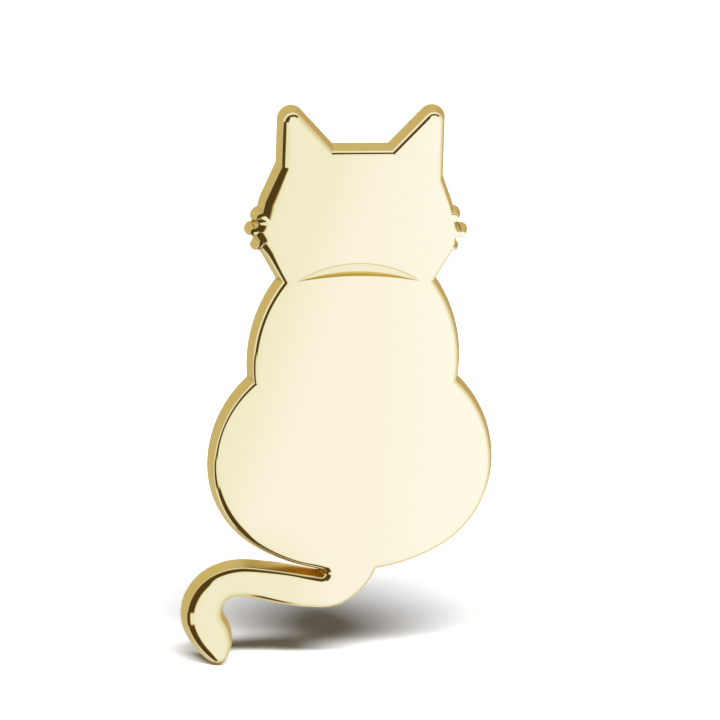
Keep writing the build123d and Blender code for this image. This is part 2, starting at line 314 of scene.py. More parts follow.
@dataclass(frozen=True)
class CastGold(Finish):
    """Gold plate on the casting: polished on the front, satin on the wall, tumbled and pitted on the back.

    The front is painted darker to the left and over the tail, as painted shade, and paler to the right, as a
    painted highlight. Places and fades are in millimetres on the object, and a fade's first number is where
    its share is 0.
    """

    # painted highlight and shade: the front's pale cream and the wall's darker gold are one plating, coloured
    # as lit and shaded copies
    wall: tuple[float, float, float] = (0.68, 0.49, 0.15)
    back: tuple[float, float, float] = (0.62, 0.45, 0.17)
    slit: tuple[float, float, float] = (1.0, 0.77, 0.28)  # painted reflection: brighter amber in the slit, standing in for light bounced between gold faces
    slit_end: tuple[float, float, float] = (-3.0, -0.8, -17.2)
    slit_fade: tuple[float, float] = (6.0, 0.0)
    # painted shade: darker tone for the front's left side and tail
    left: tuple[float, float, float] = (0.888, 0.838, 0.584)
    left_fade: tuple[float, float] = (-2.0, -8.0)
    left_lean: float = 0.3  # how far to the right the painted shade's fade moves for each millimetre up
    tail_middle: tuple[float, float, float] = (-8.5, -1.7, -19.5)
    tail_fade: tuple[float, float] = (8.0, 3.0)
    # painted highlight: paler tone for the front's right side
    right: tuple[float, float, float] = (0.99, 0.95, 0.768)
    right_fade: tuple[float, float] = (1.0, 8.0)
    crescent: tuple[float, float, float] = (0.80, 0.60, 0.14)  # the crescent's wall, painted a brighter amber as a painted reflection
    crescent_middle: tuple[float, float, float] = (0.0, -1.6, 7.2)
    crescent_fade: tuple[float, float] = (6.0, 5.2)
    crease: tuple[float, float, float] = (0.70, 0.55, 0.22)  # painted shade: a thin darker line along the crescent's upper edge
    crease_share: float = 0.75
    crease_radius: float = 8.902
    crease_width: float = 0.10
    crease_middle: tuple[float, float, float] = (0.0, -1.7, -1.072)
    crease_foot: tuple[float, float] = (6.4, 6.7)  # heights between which it begins
    dull: tuple[float, float] = (0.82, 0.70)  # how dark the wall's drawn lines and the back's pits get
    wall_roughness: float = 0.34
    wall_wear: float = 0.07
    back_roughness: float = 0.40

    def marks(self, tree: Tree) -> tuple[Any, Any, Any]:
        """Blends the three surfaces by the mesh's "wall" and "back" attributes.

        Args:
            tree: The material's node tree.

        Returns:
            Colour, roughness and normal.
        """
        wall, back = tree.attribute("wall"), tree.attribute("back")
        haze = tree.noise(size=7.0, detail=3.0)
        grain = tree.noise(size=0.07, detail=3.0)
        drawn = tree.noise(size=0.5, squash=(1, 6, 1))
        pits = tree.noise(size=0.35, detail=4.0)
        dark_wall, dark_back = (
            tuple(share * c for c in colour) for share, colour in zip(self.dull, (self.wall, self.back))
        )
        side = tree.mix(drawn * 0.35, self.wall, dark_wall)
        # painted reflection: the wall near the slit's end turns brighter amber
        side = tree.mix(tree.away(self.slit_end).step(*self.slit_fade), side, self.slit)
        # painted reflection: brighter amber on the crescent's wall
        side = tree.mix(tree.away(self.crescent_middle).step(*self.crescent_fade), side, self.crescent)
        rear = tree.mix(pits.step(0.45, 0.7) * 0.7, self.back, dark_back)
        colour = tree.mix(back, tree.mix(wall, self.front(tree, haze), side), rear)
        smooth = haze * 0.03 + self.roughness
        satin = drawn * 0.08 + grain * 0.06 + (self.wall_roughness - self.wall_wear)
        cast = pits * 0.2 + (self.back_roughness - self.wear)
        roughness = smooth * (1 - wall) + satin * wall
        roughness = roughness * (1 - back) + cast * back
        ripple = tree.bump(tree.noise(size=5.0, detail=1.0) * (1 - wall) * (1 - back), depth=0.004)
        relief = tree.bump(grain * wall * (1 - back), depth=0.004, strength=0.8, normal=ripple)
        return colour, roughness, tree.bump(pits * back, depth=0.03, strength=0.7, normal=relief)

    def front(self, tree: Tree, haze: Value) -> Value:
        """Colour of the polished front: hazy, with painted shade to the left and over the tail, a painted
        highlight to the right, and a painted shade line along the crescent's crease.

        Args:
            tree: The material's node tree.
            haze: Noise of its soft patches.

        Returns:
            The colour.
        """
        across, height = tree.along(0), tree.along(2)
        # painted shade: the front gets darker towards the left and over the tail
        painted_shade_slant = (across - height * self.left_lean).step(*self.left_fade)
        left = painted_shade_slant.most(tree.away(self.tail_middle).step(*self.tail_fade))
        # painted shade: a thin darker line along the crescent's upper arc, where the crease is
        low, middle, high = (self.crease_radius + k * self.crease_width for k in (-1, 0, 1))
        distance = tree.away(self.crease_middle)
        crease = distance.step(low, middle) * distance.step(high, middle) * height.step(*self.crease_foot)
        front = tree.mix(haze.step(0.4, 0.8) * 0.25, self.colour, self.deep)
        front = tree.mix(left, front, self.left)
        # painted highlight: the front gets paler towards the right
        front = tree.mix(across.step(*self.right_fade), front, self.right)
        return tree.mix(crease * self.crease_share, front, self.crease)


@dataclass(frozen=True)
class TurnedWire(Finish):
    """Plated wire: fine rings along the post from heading and grooving."""

    def marks(self, tree: Tree) -> tuple[Any, Any, Any]:
        """Adds fine rings along y.

        Args:
            tree: The material's node tree.

        Returns:
            Colour, roughness and normal.
        """
        rings = tree.noise(size=0.6, detail=3.0, squash=(0.2, 9.0, 0.2))
        rub = tree.noise(size=1.5, detail=3.0)
        colour = tree.mix(rub.step(0.4, 0.75) * 0.6, self.colour, self.deep)
        roughness = rings * 0.12 + rub * 0.08 + (self.roughness - self.wear)
        return colour, roughness, tree.bump(rings, depth=0.008, strength=0.7)


@dataclass(frozen=True)
class SoftSolder(Finish):
    """Soft solder: frosted crystals with bright and grey patches."""

    wear: float = 0.15
    crystals_per_metre: float = 5500.0

    def marks(self, tree: Tree) -> tuple[Any, Any, Any]:
        """Adds crystals and flux stains.

        Args:
            tree: The material's node tree.

        Returns:
            Colour, roughness and normal.
        """
        inputs = {"Vector": tree.place(), "Scale": self.crystals_per_metre}
        crystals = Value(tree, tree.node("TexVoronoi", {"feature": "F1"}, inputs).outputs[0])
        stain = tree.noise(size=0.8, detail=4.0)
        colour = tree.mix(stain.step(0.4, 0.7), self.colour, self.deep)
        roughness = stain * 0.2 + crystals * 0.15 + (self.roughness - self.wear)
        return colour, roughness, tree.bump(crystals, depth=0.02, strength=0.6)


@dataclass(frozen=True)
class PressedBrass(Finish):
    """Stamped sheet: drawing lines along one way, small scratches, and tarnish in soft patches."""

    wear: float = 0.12
    lines: tuple[float, float, float] = (9.0, 1.0, 1.0)  # how many times finer they are along each axis

    def marks(self, tree: Tree) -> tuple[Any, Any, Any]:
        """Adds rolling lines, scratches and tarnish.

        Args:
            tree: The material's node tree.

        Returns:
            Colour, roughness and normal.
        """
        lines = tree.noise(size=0.9, detail=4.0, squash=self.lines)
        scratches = tree.noise(size=0.5, squash=(1.0, 1.0, 14.0)).step(0.62, 0.7)
        tarnish = tree.noise(size=2.0, detail=5.0)
        colour = tree.mix(tarnish.step(0.42, 0.72) * 0.8, self.colour, self.deep)
        roughness = lines * 0.14 + tarnish * 0.14 - scratches * 0.06 + (self.roughness - self.wear)
        relief = tree.bump(lines, depth=0.006, strength=0.6)
        return colour, roughness, tree.bump(scratches, depth=0.004, strength=0.5, normal=relief)


# ---------------------------------------------------------------- meshes

DOUBLES = 1e-4  # points nearer than this are one
INSIDE_BORDER = 1  # the triangulation's kind of result: only what the border encloses
SNAP = 1e-5  # distance at which it joins points


def cad_box(node: str) -> tuple[np.ndarray, np.ndarray]:
    """Low and high corner of a CAD node's box, in millimetres."""
    low, high = (np.array(corner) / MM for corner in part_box(node))
    return low, high


def directions(turn: np.ndarray) -> np.ndarray:
    """Unit vectors (cos, sin) at angles."""
    return np.stack([np.cos(turn), np.sin(turn)], axis=1)


def triangulate(
    plan: np.ndarray, edges: np.ndarray, border: np.ndarray
) -> tuple[list[Vector], np.ndarray, np.ndarray]:
    """Delaunay triangles inside a border, with given lines kept.

    Args:
        plan: (n, 2) points.
        edges: (m, 2) indices of the lines' ends.
        border: Indices of the border's points, in order.

    Returns:
        The result's points, the plan point that each stands for, or -1 where one was added, and the triangles
        over the result's points.
    """
    points, _, faces, originals, *_ = delaunay_2d_cdt(
        [Vector(p) for p in plan], edges.tolist(), [border.tolist()], INSIDE_BORDER, SNAP
    )
    lead = np.array([o[0] if o else -1 for o in originals])
    return points, lead, np.array([f for f in faces if len(f) == 3])


def make_object(name: str, mesh: bpy.types.Mesh, finish: bpy.types.Material) -> bpy.types.Object:
    """Links a finished mesh as an object at the origin.

    Args:
        name: Piece name.
        mesh: Its mesh, in metres.
        finish: Its material.

    Returns:
        The object.
    """
    piece = bpy.data.objects.new(name, mesh)
    bpy.context.scene.collection.objects.link(piece)
    mesh.materials.append(finish)
    return piece


def hand_over(piece: bpy.types.Object, body: str, slot: str, *nodes: str) -> None:
    """Gives a piece its body and hides the nodes it stands for.

    Args:
        piece: The piece.
        body: Body that it rides on.
        slot: Not used.
        *nodes: CAD nodes that it replaces.
    """
    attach(piece, body)
    if nodes:
        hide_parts(*nodes)
    LOG.info("%s rides on %s: %d faces", piece.name, body, len(piece.data.polygons))


def smooth_mesh(name: str, vertices: np.ndarray, faces: list, crisp: float = 35.0) -> bpy.types.Mesh:
    """Makes a closed mesh: doubles merged, faces outwards, smooth but for edges sharper than an angle.

    Args:
        name: Mesh name.
        vertices: (n, 3) array in millimetres.
        faces: Vertex indices of each face.
        crisp: Angle in degrees above which an edge stays sharp.

    Returns:
        The mesh.
    """
    mesh = bpy.data.meshes.new(name)
    mesh.from_pydata((vertices * MM).tolist(), [], faces)
    work = bmesh.new()
    work.from_mesh(mesh)
    bmesh.ops.remove_doubles(work, verts=work.verts, dist=DOUBLES * MM)
    bmesh.ops.recalc_face_normals(work, faces=work.faces)
    work.to_mesh(mesh)
    work.free()
    mesh.shade_smooth()
    mesh.set_sharp_from_angle(angle=math.radians(crisp))
    return mesh


def turned(profile: np.ndarray, centre: Sequence[float], turns: int = 128) -> tuple[np.ndarray, list]:
    """Solid of revolution round an axis along +Y.

    A point at the angle a and the profile's row (radius, height) lies at (centre x + radius cos a, height,
    centre z + radius sin a). Rows run from pole to pole, or closed when the first row is repeated at the end.

    Args:
        profile: (n, 2) rows of radius and height in millimetres.
        centre: x and z of the axis.
        turns: Number of columns.

    Returns:
        Vertices and faces.
    """
    angle = np.linspace(0, 2 * np.pi, turns, endpoint=False)
    radius, height = profile[:, :1], profile[:, 1:]
    grid = np.stack(
        [centre[0] + radius * np.cos(angle), height + 0 * angle, centre[1] + radius * np.sin(angle)], axis=-1
    )
    row, column = np.meshgrid(np.arange(len(profile) - 1), np.arange(turns), indexing="ij")
    start, after = row * turns, (column + 1) % turns
    faces = np.stack([start + column, start + after, start + turns + after, start + turns + column], axis=-1)
    return grid.reshape(-1, 3), faces.reshape(-1, 4).tolist()


def arc(
    centre: Sequence[float], radius: float, start: float, end: float, steps: int
) -> list[tuple[float, float]]:
    """Points on an arc.

    Args:
        centre: Its centre.
        radius: Its radius.
        start: First angle in degrees.
        end: Last angle.
        steps: Number of stretches.

    Returns:
        The points: centre + radius (cos, sin) of evenly spaced angles.
    """
    turn = np.radians(np.linspace(start, end, steps + 1))
    return list(zip(centre[0] + radius * np.cos(turn), centre[1] + radius * np.sin(turn)))


def soften(piece: bpy.types.Object, width: float) -> None:
    """Rounds a piece's edges sharper than 32 degrees with a Bevel modifier.

    Args:
        piece: The piece.
        width: Width of the round in millimetres.
    """
    bevel = piece.modifiers.new("edge_round", "BEVEL")
    bevel.width, bevel.segments = width * MM, 2
    bevel.limit_method, bevel.angle_limit = "ANGLE", math.radians(32)
    bevel.harden_normals = True
    bevel.use_clamp_overlap = True


# ---------------------------------------------------------------- casting


IN_PLANE = 1e-3  # points nearer the back plane than this are in it
BACKWARDS = (0.0, 1.0, 0.0)  # out of the back


@dataclass
class Outline:
    """A closed outline in the plan (x, z), counterclockwise, with the directions in which it is set in.

    Attributes:
        point: (n, 2) points on the outline.
        inset: (n, 2) how a point moves for each millimetre that the outline is set in.
        before: (n, 2) inward normal of the edge before the point.
        after: (n, 2) inward normal of the edge after it.
        valley: Whether the point is an inner corner, where the two walls meet in a valley.
    """

    point: np.ndarray
    inset: np.ndarray
    before: np.ndarray
    after: np.ndarray
    valley: np.ndarray


def back_loops(node: str) -> list[np.ndarray]:
    """Borders of a node's flat back face, in its plane y = 0.

    Args:
        node: CAD node.

    Returns:
        One (n, 2) array of (x, z) in millimetres for each closed border, in order along it.
    """
    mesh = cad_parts[node].data
    mesh.calc_loop_triangles()
    spots = np.empty(3 * len(mesh.vertices), np.float32)
    corners = np.empty(3 * len(mesh.loop_triangles), np.int32)
    mesh.vertices.foreach_get("co", spots)
    mesh.loop_triangles.foreach_get("vertices", corners)
    spots = np.round(spots.reshape(-1, 3).astype(float) / MM, 4)  # a node's mesh has loose triangles
    unique, index = np.unique(spots, axis=0, return_inverse=True)
    triangles = index.reshape(-1)[corners].reshape(-1, 3)
    flat = triangles[np.all(np.abs(unique[triangles][:, :, 1]) < IN_PLANE, axis=1)]
    edges = np.concatenate([flat[:, [0, 1]], flat[:, [1, 2]], flat[:, [2, 0]]])
    count = len(unique)
    border = edges[~np.isin(edges[:, 0] * count + edges[:, 1], edges[:, 1] * count + edges[:, 0])]
    following = dict(border.tolist())
    loops = []
    while following:
        start, step = following.popitem()
        loop = [start]
        while step != start:
            loop.append(step)
            step = following.pop(step)
        loops.append(unique[loop][:, [0, 2]])
    return loops


def in_space(plan: np.ndarray, y: Any) -> np.ndarray:
    """(n, 3) points from (x, z) points in the plan and y."""
    return np.stack([plan[:, 0], np.broadcast_to(y, len(plan)), plan[:, 1]], axis=1)


def signed_area(loop: np.ndarray) -> float:
    """Area inside a closed loop, positive when it runs counterclockwise."""
    after = np.roll(loop, -1, axis=0)
    return float(np.sum(loop[:, 0] * after[:, 1] - loop[:, 1] * after[:, 0]) / 2)


def wrap(angle: np.ndarray) -> np.ndarray:
    """Angles brought between -pi and pi."""
    return (angle + np.pi) % (2 * np.pi) - np.pi


def bends(loop: np.ndarray) -> tuple[np.ndarray, np.ndarray, np.ndarray]:
    """Length and heading of each edge and the turn at each vertex of a closed loop.

    Args:
        loop: (n, 2) vertices.

    Returns:
        Lengths, headings, and turns, where turn i is between edges i - 1 and i.
    """
    edge = np.roll(loop, -1, axis=0) - loop
    heading = np.arctan2(edge[:, 1], edge[:, 0])
    return np.hypot(*edge.T), heading, wrap(heading - np.roll(heading, 1))


@dataclass
class CatPlate:
    """Cast plate: polished and softly crowned front, drafted wall, flat back with two recesses, fur tufts."""

    finish: Finish
    node: str = "cat_plate"
    draft: float = 14.0  # degrees
    edge_round: float = 0.42  # radius between wall and front
    crown_tilt: float = 7.0  # degrees, slope of the front just inside the edge
    crown_reach: float = 1.0  # how fast that slope dies away inwards
    round_spreads: tuple[tuple[float, float, float, float], ...] = (  # x, z, reach, added share of its radius
        (-6.9, 12.0, 2.6, 4.6),
        (-6.2, 16.8, 2.4, 1.3),
        (-11.5, -20.0, 5.0, 1.6),
        (-9.0, -6.0, 4.0, -0.45),
        (-9.5, -13.0, 3.5, 0.7),
        (-2.15, -17.3, 1.3, 1.0),
        (7.6, 12.4, 4.0, -0.55),
        (8.6, 9.8, 1.6, -0.4),
    )
    step: float = 0.08  # spacing along the outline
    slit_width: float = 0.3  # widest end of a slit that is rounded
    slit_turn: float = 30.0  # degrees, least turn at its corners
    arc_turn: float = 20.0  # degrees between chords, from which on they aren't an arc's
    arc_bulge: float = 0.02  # to which the chords follow the real arc
    corner_turn: float = 3.0  # degrees, from which on a kink is a corner
    fan_turn: float = 100.0  # degrees, from which on an inner corner gets a fan of fan_rays
    fan_rays: int = 40
    round_rings: int = 14
    wall_rings: tuple[float, ...] = (0.5, 0.97, 1.0)  # shares of the wall's run
    crown_rings: tuple[float, ...] = (0.12, 0.3, 0.55, 0.9, 1.4, 2.1)  # in crown_reach, inside the round
    ring_slack: float = 0.004  # by which a ring's point may be nearer to another part of the outline
    grid: tuple[tuple[float, float], tuple[float, float]] = ((-13, 13), (-26, 21))  # x and z it runs between
    grid_step: float = 0.6
    grid_gap: float = 0.15  # between the last ring and the grid
    least_area: float = 1e-9  # twice that of the smallest triangle kept
    recess_steps: int = 96
    polish_fade: tuple[float, float] = (0.30, 0.18)  # cosine to the front where the satin ends, and its blend
    recess_depth: float = 0.45
    crescent_half_length: float = 4.90
    crescent_z: float = 6.36
    crescent_rises: tuple[float, float] = (1.47, 0.46)
    crescent_slope: float = 0.35
    crescent_wall: float = 26.0  # degrees from upright
    crescent_steps: int = 120
    halvings: int = 40  # in the search for the crescent's fold
    nudge: float = 0.04  # share by which a corner moves into its triangle before its slope is taken
    thickness: float = field(init=False)

    def __post_init__(self) -> None:
        """Takes the thickness from the CAD box."""
        low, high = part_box(self.node)
        self.thickness = (high[1] - low[1]) / MM

    # ---- outline

    def with_round_slit(self, loop: np.ndarray) -> np.ndarray:
        """Draws the two inner corners at the slit's closed end together, so that it gets a round end.

        Args:
            loop: Counterclockwise outline.

        Returns:
            The outline with one point for each such pair.
        """
        length, _, turn = bends(loop)
        sharp = turn < -math.radians(self.slit_turn)
        pair = sharp & np.roll(sharp, -1) & (length < self.slit_width)
        first = np.flatnonzero(pair)
        loop = loop.copy()
        loop[first] = (loop[first] + loop[(first + 1) % len(loop)]) / 2
        return np.delete(loop, (first + 1) % len(loop), axis=0)

    def outline(self, loop: np.ndarray) -> Outline:
        """Refines the outline: arcs between points that lie on an arc, lines elsewhere, corners kept.

        Each chord gets the bulge curvature * length^2 / 2 * t (1 - t), where the curvature at a vertex is
        its turn over the mean length of its two chords, and counts only where that bulge stays within the
        tolerance to which the chords follow the real arc.

        Args:
            loop: Counterclockwise outline.

        Returns:
            The refined outline with its inset directions.
        """
        length, heading, turn = bends(loop)
        mean = (length + np.roll(length, 1)) / 2
        curve = turn / mean
        bulge = np.abs(curve) * np.maximum(length, np.roll(length, 1)) ** 2 / 8
        on_arc = (np.abs(turn) < math.radians(self.arc_turn)) & (bulge < self.arc_bulge)
        near = np.where(on_arc, curve, np.nan)
        far = np.roll(near, -1)
        start = np.nan_to_num(np.where(np.isnan(near), far, near))
        end = np.nan_to_num(np.where(np.isnan(far), near, far))
        leaving = heading - start * length / 2
        arriving = np.roll(heading + end * length / 2, 1)
        kink = wrap(leaving - arriving)
        columns: list[list[np.ndarray]] = [[] for _ in fields(Outline)]

        def add(*spots: np.ndarray, valley: bool = False) -> None:
            """Adds points.

            Args:
                *spots: Points, their inset directions, and the normals before and after.
                valley: Whether they are at an inner corner.
            """
            count = len(spots[1])
            for column, value in zip(columns, spots):
                column.append(np.broadcast_to(value, (count, 2)))
            columns[-1].append(np.full(count, valley))

        for i, spot in enumerate(loop):
            inward = [np.array([-math.sin(h), math.cos(h)]) for h in (arriving[i], leaving[i])]
            cornered = abs(kink[i]) > math.radians(self.corner_turn)
            if cornered:
                add(spot, *self.corner(inward, kink[i]), valley=kink[i] < 0)
            count = max(1, math.ceil(length[i] / self.step))
            t = np.arange(int(cornered), count) / count
            if not len(t):
                continue
            along = np.array([math.cos(heading[i]), math.sin(heading[i])])
            left = np.array([-along[1], along[0]])
            share = start[i] * (1 - t) + end[i] * t
            bulge = share * length[i] ** 2 / 2 * t * (1 - t)
            slope = length[i] / 2 * ((end[i] - start[i]) * t * (1 - t) + share * (1 - 2 * t))
            point = spot + np.outer(t * length[i], along) - np.outer(bulge, left)
            angle = heading[i] - np.arctan(slope)
            normal = np.stack([-np.sin(angle), np.cos(angle)], axis=1)
            add(point, normal, normal, normal)
        return Outline(*[np.concatenate(column) for column in columns])

    def corner(self, inward: list[np.ndarray], kink: float) -> tuple[np.ndarray, np.ndarray, np.ndarray]:
        """Inset directions at a corner: one along the ridge, or a fan from one wall to the next in a valley.

        In a valley each wall runs up to the mitre, which is (before + after) / (1 + before . after); at a
        very sharp one the fan is an arc instead.

        Args:
            inward: Inward normals of the edges before and after.
            kink: Turn of the outline, negative at an inner corner.

        Returns:
            Inset directions and the normals of the walls before and after for each.
        """
        before, after = inward
        mitre = (before + after) / (1 + before @ after)
        if kink > 0:
            return mitre[None], before[None], after[None]
        if kink < -math.radians(self.fan_turn):
            fan = directions(math.atan2(before[1], before[0]) + np.linspace(0, kink, self.fan_rays))
            return fan, fan, fan
        rays_per_run = 6
        t = np.linspace(0, 1, 2 + math.ceil(rays_per_run * abs(math.tan(kink / 2))))[:, None]
        first, second = before + t * (mitre - before), mitre + t * (after - mitre)
        fan = np.concatenate([first, second[1:]])
        middle = len(first) - 1
        order = np.arange(len(fan))[:, None]
        return fan, np.where(order <= middle, before, after), np.where(order >= middle, after, before)

    # ---- relief

    def radius_at(self, spots: np.ndarray) -> np.ndarray:
        """Radius of the edge round at points in the plan.

        Args:
            spots: (n, 2) points.

        Returns:
            edge_round * (1 + sum of share * exp(-(distance from a place / its reach)^2)) over round_spreads.
        """
        share = np.ones(len(spots))
        for x, z, reach, added in self.round_spreads:
            share += added * np.exp(-((spots[:, 0] - x) ** 2 + (spots[:, 1] - z) ** 2) / reach**2)
        return self.edge_round * share

    def section(self, radius: np.ndarray) -> tuple[np.ndarray, np.ndarray, np.ndarray, np.ndarray]:
        """Rise and run of the wall, tilt where the round starts and run of the round, for its radius.

        A wide round is no taller than the plain one, so it starts at a gentler tilt than the wall's.

        Args:
            radius: Of the round at each point.

        Returns:
            The four arrays; wall, round and crown together rise by the thickness.
        """
        steep, crown = math.radians(90 - self.draft), math.radians(self.crown_tilt)
        round_rise = np.minimum(radius, self.edge_round) * (math.cos(crown) - math.cos(steep))
        start = np.arccos(math.cos(crown) - round_rise / radius)
        wall_rise = self.thickness - round_rise - crown * self.crown_reach
        return wall_rise, wall_rise / math.tan(steep), start, radius * (np.sin(start) - math.sin(crown))

    def relief(self, inside: np.ndarray, radius: np.ndarray) -> tuple[np.ndarray, np.ndarray]:
        """Height of the surface over the back plane and its tilt, at a distance inside the outline.

        From the outline in: the wall at its draft; a circular round down to the crown's tilt; and the crown,
        whose tilt dies away exponentially.

        Args:
            inside: Distance from the outline.
            radius: Of the round there.

        Returns:
            Height and tilt in radians.
        """
        steep, crown = math.radians(90 - self.draft), math.radians(self.crown_tilt)
        wall_rise, wall_run, start, round_run = self.section(radius)
        tilt = np.arcsin(np.clip(np.sin(start) - (inside - wall_run) / radius, -1, 1))
        on_wall, on_crown = inside <= wall_run, inside >= wall_run + round_run
        fade = np.exp(-np.maximum(inside - wall_run - round_run, 0) / self.crown_reach)
        height = wall_rise + radius * (np.cos(tilt) - np.cos(start))
        height = np.where(on_wall, inside * math.tan(steep), height)
        height = np.where(on_crown, self.thickness - crown * self.crown_reach * fade, height)
        return height, np.where(on_wall, steep, np.where(on_crown, crown * fade, tilt))

    def insets(self, radius: np.ndarray) -> np.ndarray:
        """Distances from the outline at which the mesh has rings.

        Args:
            radius: (n,) of the round at each point.

        Returns:
            (rings, n) distances.
        """
        crown = math.radians(self.crown_tilt)
        _, wall_run, start, _ = self.section(radius)
        tilts = start + (crown - start) * np.linspace(0, 1, self.round_rings + 1)[1:, None]
        on_round = wall_run + radius * (np.sin(start) - np.sin(tilts))
        on_crown = on_round[-1] + self.crown_reach * np.array(self.crown_rings)[:, None]
        return np.concatenate([wall_run * np.array(self.wall_rings)[:, None], on_round, on_crown])

    def crescent_arc(self, rise: float) -> tuple[float, float]:
        """Radius and centre height of a crescent's arc over the common chord."""
        radius = (self.crescent_half_length**2 + rise**2) / (2 * rise)
        return radius, self.crescent_z + rise - radius

    def crescent(self, spots: np.ndarray) -> tuple[np.ndarray, np.ndarray]:
        """Depth of the crescent cut and its slope.

        The floor falls from the upper arc in proportion to the distance from it; the wall rises to the lower
        arc at its draft; the cut is the shallower of the two, and nothing outside the arcs.

        Args:
            spots: (n, 2) points.

        Returns:
            Depth, and its (n, 2) gradient.
        """
        depths, gradients = [], []
        for rise, rate, sign in (
            (self.crescent_rises[0], self.crescent_slope, -1),
            (self.crescent_rises[1], 1 / math.tan(math.radians(self.crescent_wall)), 1),
        ):
            radius, centre = self.crescent_arc(rise)
            away = spots - np.array([0, centre])
            reach = np.hypot(*away.T)
            depths.append(sign * rate * (reach - radius))
            gradients.append(sign * rate * away / reach[:, None])
        depth = np.minimum(*depths)
        gradient = np.where((depths[0] < depths[1])[:, None], *gradients)
        cut = (depth > 0) & (np.abs(spots[:, 0]) < self.crescent_half_length)
        return np.where(cut, depth, 0), np.where(cut[:, None], gradient, 0)

    def crescent_lines(self) -> list[np.ndarray]:
        """The crescent's upper arc, lower arc and the fold between floor and wall, as points along x.

        At each x the fold's height is found by halving the stretch between the arcs, just inside the horns.

        Returns:
            Three (n, 2) arrays that share their end points.
        """
        just_inside = 0.999999
        turn = np.linspace(-np.pi / 2, np.pi / 2, self.crescent_steps + 1)
        x = self.crescent_half_length * np.sin(turn)
        lines = []
        for rise in self.crescent_rises:
            radius, centre = self.crescent_arc(rise)
            lines.append(np.stack([x, centre + np.sqrt(radius**2 - x**2)], axis=1))
        low, high = lines[1][:, 1].copy(), lines[0][:, 1].copy()
        for _ in range(self.halvings):
            middle = (low + high) / 2
            _, gradient = self.crescent(np.stack([x * just_inside, middle], axis=1))
            on_wall = gradient[:, 1] > 0
            low, high = np.where(on_wall, middle, low), np.where(on_wall, high, middle)
        fold = np.stack([x, (low + high) / 2], axis=1)
        fold[[0, -1]] = lines[0][[0, -1]]
        return [*lines, fold]

    # ---- mesh

    def front(self, line: Outline) -> tuple[np.ndarray, np.ndarray, np.ndarray, np.ndarray, np.ndarray]:
        """Wall and front face as triangles over the plan.

        Args:
            line: The refined outline.

        Returns:
            Plan points, triangles, heights, corner normals for each triangle, and the border's point indices.
        """
        levels = self.insets(self.radius_at(line.point))
        spots = (line.point + line.inset * levels[:, :, None]).reshape(-1, 2)
        level, source = levels.reshape(-1), np.tile(np.arange(len(line.point)), len(levels))
        keep = self.distance(spots, line.point)[0] >= level - self.ring_slack
        first = np.flatnonzero(np.r_[True, np.any(np.diff(line.point, axis=0) != 0, axis=1)])
        cut, chains = self.crescent_mesh()
        plan, inside, origin = (
            np.concatenate(column)
            for column in zip(
                (line.point[first], np.zeros(len(first)), first),
                (spots[keep], level[keep], source[keep]),
                self.inner_grid(line, levels[-1].max() + self.grid_gap),
                (cut, *self.distance(cut, line.point)),
            )
        )
        border = np.arange(len(first))
        rim = np.stack([border, np.roll(border, -1)], axis=1)
        shift = plan.mean(axis=0)
        edges = np.concatenate([rim, chains + len(plan) - len(cut)])
        points, lead, faces = triangulate(plan - shift, edges, border)
        made = np.flatnonzero(lead < 0)
        if len(made):
            extra = np.array([points[i][:] for i in made]) + shift
            extra_depth, extra_source = self.distance(extra, line.point)
            lead[made] = len(plan) + np.arange(len(made))
            plan = np.concatenate([plan, extra])
            inside, origin = np.r_[inside, extra_depth], np.r_[origin, extra_source]
        triangles = lead[faces]
        a, b, c = (plan[triangles[:, k]] for k in range(3))
        area = (b - a)[:, 0] * (c - a)[:, 1] - (b - a)[:, 1] * (c - a)[:, 0]
        triangles[area < 0] = triangles[area < 0][:, ::-1]
        triangles = triangles[np.abs(area) > self.least_area]
        height, tilt = self.relief(inside, self.radius_at(plan))
        tilt[: len(first)] = math.radians(90 - self.draft)
        height = height - self.crescent(plan)[0]
        height[: len(first)] = 0
        return plan, triangles, height, self.corner_normals(line, plan, triangles, tilt, origin), border

    def inner_grid(self, line: Outline, gap: float) -> tuple[np.ndarray, np.ndarray, np.ndarray]:
        """Square grid of points inside the rings and outside the crescent.

        Args:
            line: The refined outline.
            gap: Least distance from the outline.

        Returns:
            Points, their distances from the outline and its nearest points' indices.
        """
        across, up = (np.arange(low, high, self.grid_step) for low, high in self.grid)
        grid = np.stack(np.meshgrid(across, up), axis=-1).reshape(-1, 2)
        depth, index = self.distance(grid, line.point)
        inner = (depth > gap) & (np.sum((grid - line.point[index]) * line.after[index], axis=1) > 0)
        inner &= self.crescent(grid)[0] == 0
        return grid[inner], depth[inner], index[inner]

    def crescent_mesh(self) -> tuple[np.ndarray, np.ndarray]:
        """Points of the crescent's three lines, their shared ends once, and the edges that join them.

        Returns:
            (n, 2) points and (m, 2) indices.
        """
        upper, lower, fold = self.crescent_lines()
        last, inner = len(upper) - 1, np.arange(len(upper) - 2)
        chains = [
            np.arange(last + 1),
            np.r_[0, last + 1 + inner, last],
            np.r_[0, last + 1 + len(inner) + inner, last],
        ]
        edges = np.concatenate([np.stack([c[:-1], c[1:]], axis=1) for c in chains])
        return np.concatenate([upper, lower[1:-1], fold[1:-1]]), edges

    @staticmethod
    def distance(spots: np.ndarray, points: np.ndarray) -> tuple[np.ndarray, np.ndarray]:
        """Distance from each spot to the nearest point, and its index, worked out in blocks.

        Args:
            spots: (n, 2) spots.
            points: (m, 2) points.

        Returns:
            Distances and indices.
        """
        lengths, indices, block_size = [], [], 2000
        squares = np.sum(points**2, axis=1)
        for block in np.array_split(spots, max(1, len(spots) // block_size)):
            gap = squares - 2 * block @ points.T
            index = np.argmin(gap, axis=1)
            indices.append(index)
            lengths.append(np.hypot(*(block - points[index]).T))
        return np.concatenate(lengths), np.concatenate(indices)

